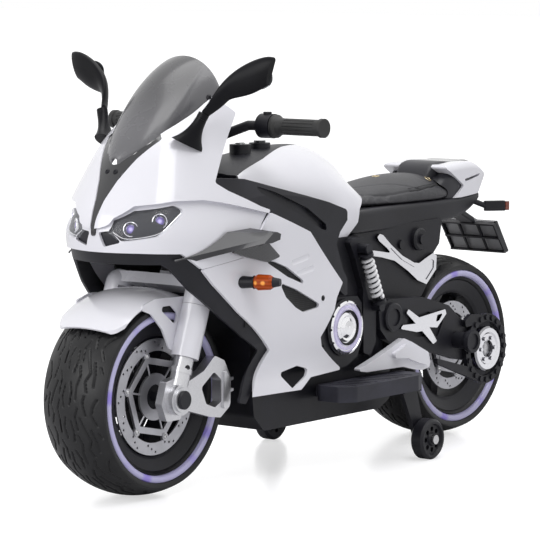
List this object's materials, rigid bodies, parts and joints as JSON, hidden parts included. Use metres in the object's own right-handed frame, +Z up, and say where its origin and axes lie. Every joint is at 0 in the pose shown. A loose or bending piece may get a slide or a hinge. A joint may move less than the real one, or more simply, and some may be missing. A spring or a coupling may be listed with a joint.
{
  "type": "kids electric motorbike",
  "caption": "Ride-on electric toy sport motorbike with full fairing, steered lit front wheel, twist throttle, driven rear wheel and side stabiliser wheels.",
  "frame": {"origin": "on the floor, at the middle of the overall length and width", "axes": "+X forward, +Y to the rider's left, +Z up"},
  "size_m": [1.144, 0.448, 0.7054],
  "materials": {
    "white_shell": "glossy",
    "black_plastic": "satin",
    "black_gloss": "glossy",
    "smoke_screen": "glossy",
    "silver_paint": "satin",
    "steel": "brushed",
    "chrome": "mirror",
    "tyre": "matte",
    "glow": "translucent",
    "amber": "translucent",
    "red_lens": "translucent",
    "clear_lens": "clear",
    "seat_leather": "satin",
    "grip_rubber": "matte",
    "frame_paint": "satin",
    "spring_white": "glossy",
    "blue_case": "matte"
  },
  "bodies": {
    "chassis": {"chassis_tub": "black_plastic", "steel_frame": "frame_paint", "battery_pack": "blue_case", "control_box": "black_plastic", "nose_cowl": "white_shell", "fairing_left": "white_shell", "fairing_right": "white_shell", "intake_duct": "black_plastic", "nose_trim": "black_gloss", "windshield": "smoke_screen", "headlamp_housings": "black_gloss", "headlamp_lenses": "clear_lens", "winglets": "black_plastic", "front_signals": "amber", "signal_stalks": "black_plastic", "mirror_feet": "black_plastic", "tank_shell": "white_shell", "dash_console": "black_plastic", "frame_rails": "black_plastic", "seat_cushion": "seat_leather", "tail_base": "black_plastic", "tail_cowl": "white_shell", "tail_pad": "black_gloss", "rear_lamps": "red_lens", "plate_holder": "black_plastic", "chrome_trims": "chrome", "shock_mounts": "black_plastic", "shock_springs": "spring_white", "engine_covers": "black_plastic", "engine_rings": "chrome", "engine_lamps": "glow", "belly_wings": "white_shell", "swing_arm": "black_plastic", "chain_case": "black_plastic", "rear_axle": "steel", "gearmotor": "black_plastic", "footboards": "black_plastic", "stabiliser_brackets": "black_plastic", "stabiliser_bolts": "steel"},
    "steering": {"steering_stem": "frame_paint", "fork_legs": "silver_paint", "front_fender": "white_shell", "handlebar": "black_plastic", "left_grip": "grip_rubber", "front_axle": "black_plastic"},
    "throttle": {"throttle_grip": "grip_rubber"},
    "front_wheel": {"front_tyre": "tyre", "front_rim": "black_plastic", "front_light_rings": "glow", "front_discs": "silver_paint"},
    "rear_wheel": {"rear_tyre": "tyre", "rear_rim": "black_plastic", "rear_light_rings": "glow", "rear_disc": "silver_paint"},
    "stabiliser_left": {"stabiliser_wheel_left": "black_plastic"},
    "stabiliser_right": {"stabiliser_wheel_right": "black_plastic"},
    "mirror_left": {"mirror_left": "black_plastic"},
    "mirror_right": {"mirror_right": "black_plastic"},
    "power_button": {"power_button": "black_gloss"},
    "direction_switch": {"direction_switch": "black_gloss"}
  },
  "joints": [
    {"name": "steering_turn", "type": "hinge", "parent": "chassis", "child": "steering", "pos_m": [0.2933, 0, 0.43878], "axis": [-0.342, 0, 0.9397], "range_deg": [-22, 22]},
    {"name": "front_wheel_spin", "type": "hinge", "parent": "steering", "child": "front_wheel", "pos_m": [0.41, 0, 0.162], "axis": [0, 1, 0], "continuous": true},
    {"name": "rear_wheel_spin", "type": "hinge", "parent": "chassis", "child": "rear_wheel", "pos_m": [-0.41, 0, 0.162], "axis": [0, 1, 0], "continuous": true},
    {"name": "throttle_twist", "type": "hinge", "parent": "steering", "child": "throttle", "pos_m": [0.202, -0.17, 0.588], "axis": [0, -1, 0], "range_deg": [0, 40], "stiffness_Nm_per_rad": 0.25},
    {"name": "stabiliser_left_spin", "type": "hinge", "parent": "chassis", "child": "stabiliser_left", "pos_m": [-0.16, 0.172, 0.035], "axis": [0, 1, 0], "continuous": true},
    {"name": "stabiliser_right_spin", "type": "hinge", "parent": "chassis", "child": "stabiliser_right", "pos_m": [-0.16, -0.172, 0.035], "axis": [0, 1, 0], "continuous": true},
    {"name": "mirror_left_swivel", "type": "hinge", "parent": "chassis", "child": "mirror_left", "pos_m": [0.366, 0.104, 0.606], "axis": [-0.2752, 0.3853, 0.8808], "range_deg": [-18, 18]},
    {"name": "mirror_right_swivel", "type": "hinge", "parent": "chassis", "child": "mirror_right", "pos_m": [0.366, -0.104, 0.606], "axis": [-0.2752, -0.3853, 0.8808], "range_deg": [-18, 18]},
    {"name": "power_press", "type": "slide", "parent": "chassis", "child": "power_button", "axis": [0, 0, -1], "range_m": [0, 0.003], "stiffness_N_per_m": 400},
    {"name": "direction_rock", "type": "hinge", "parent": "chassis", "child": "direction_switch", "pos_m": [0.14, 0, 0.547], "axis": [0, 1, 0], "range_deg": [-10, 10]}
  ]
}
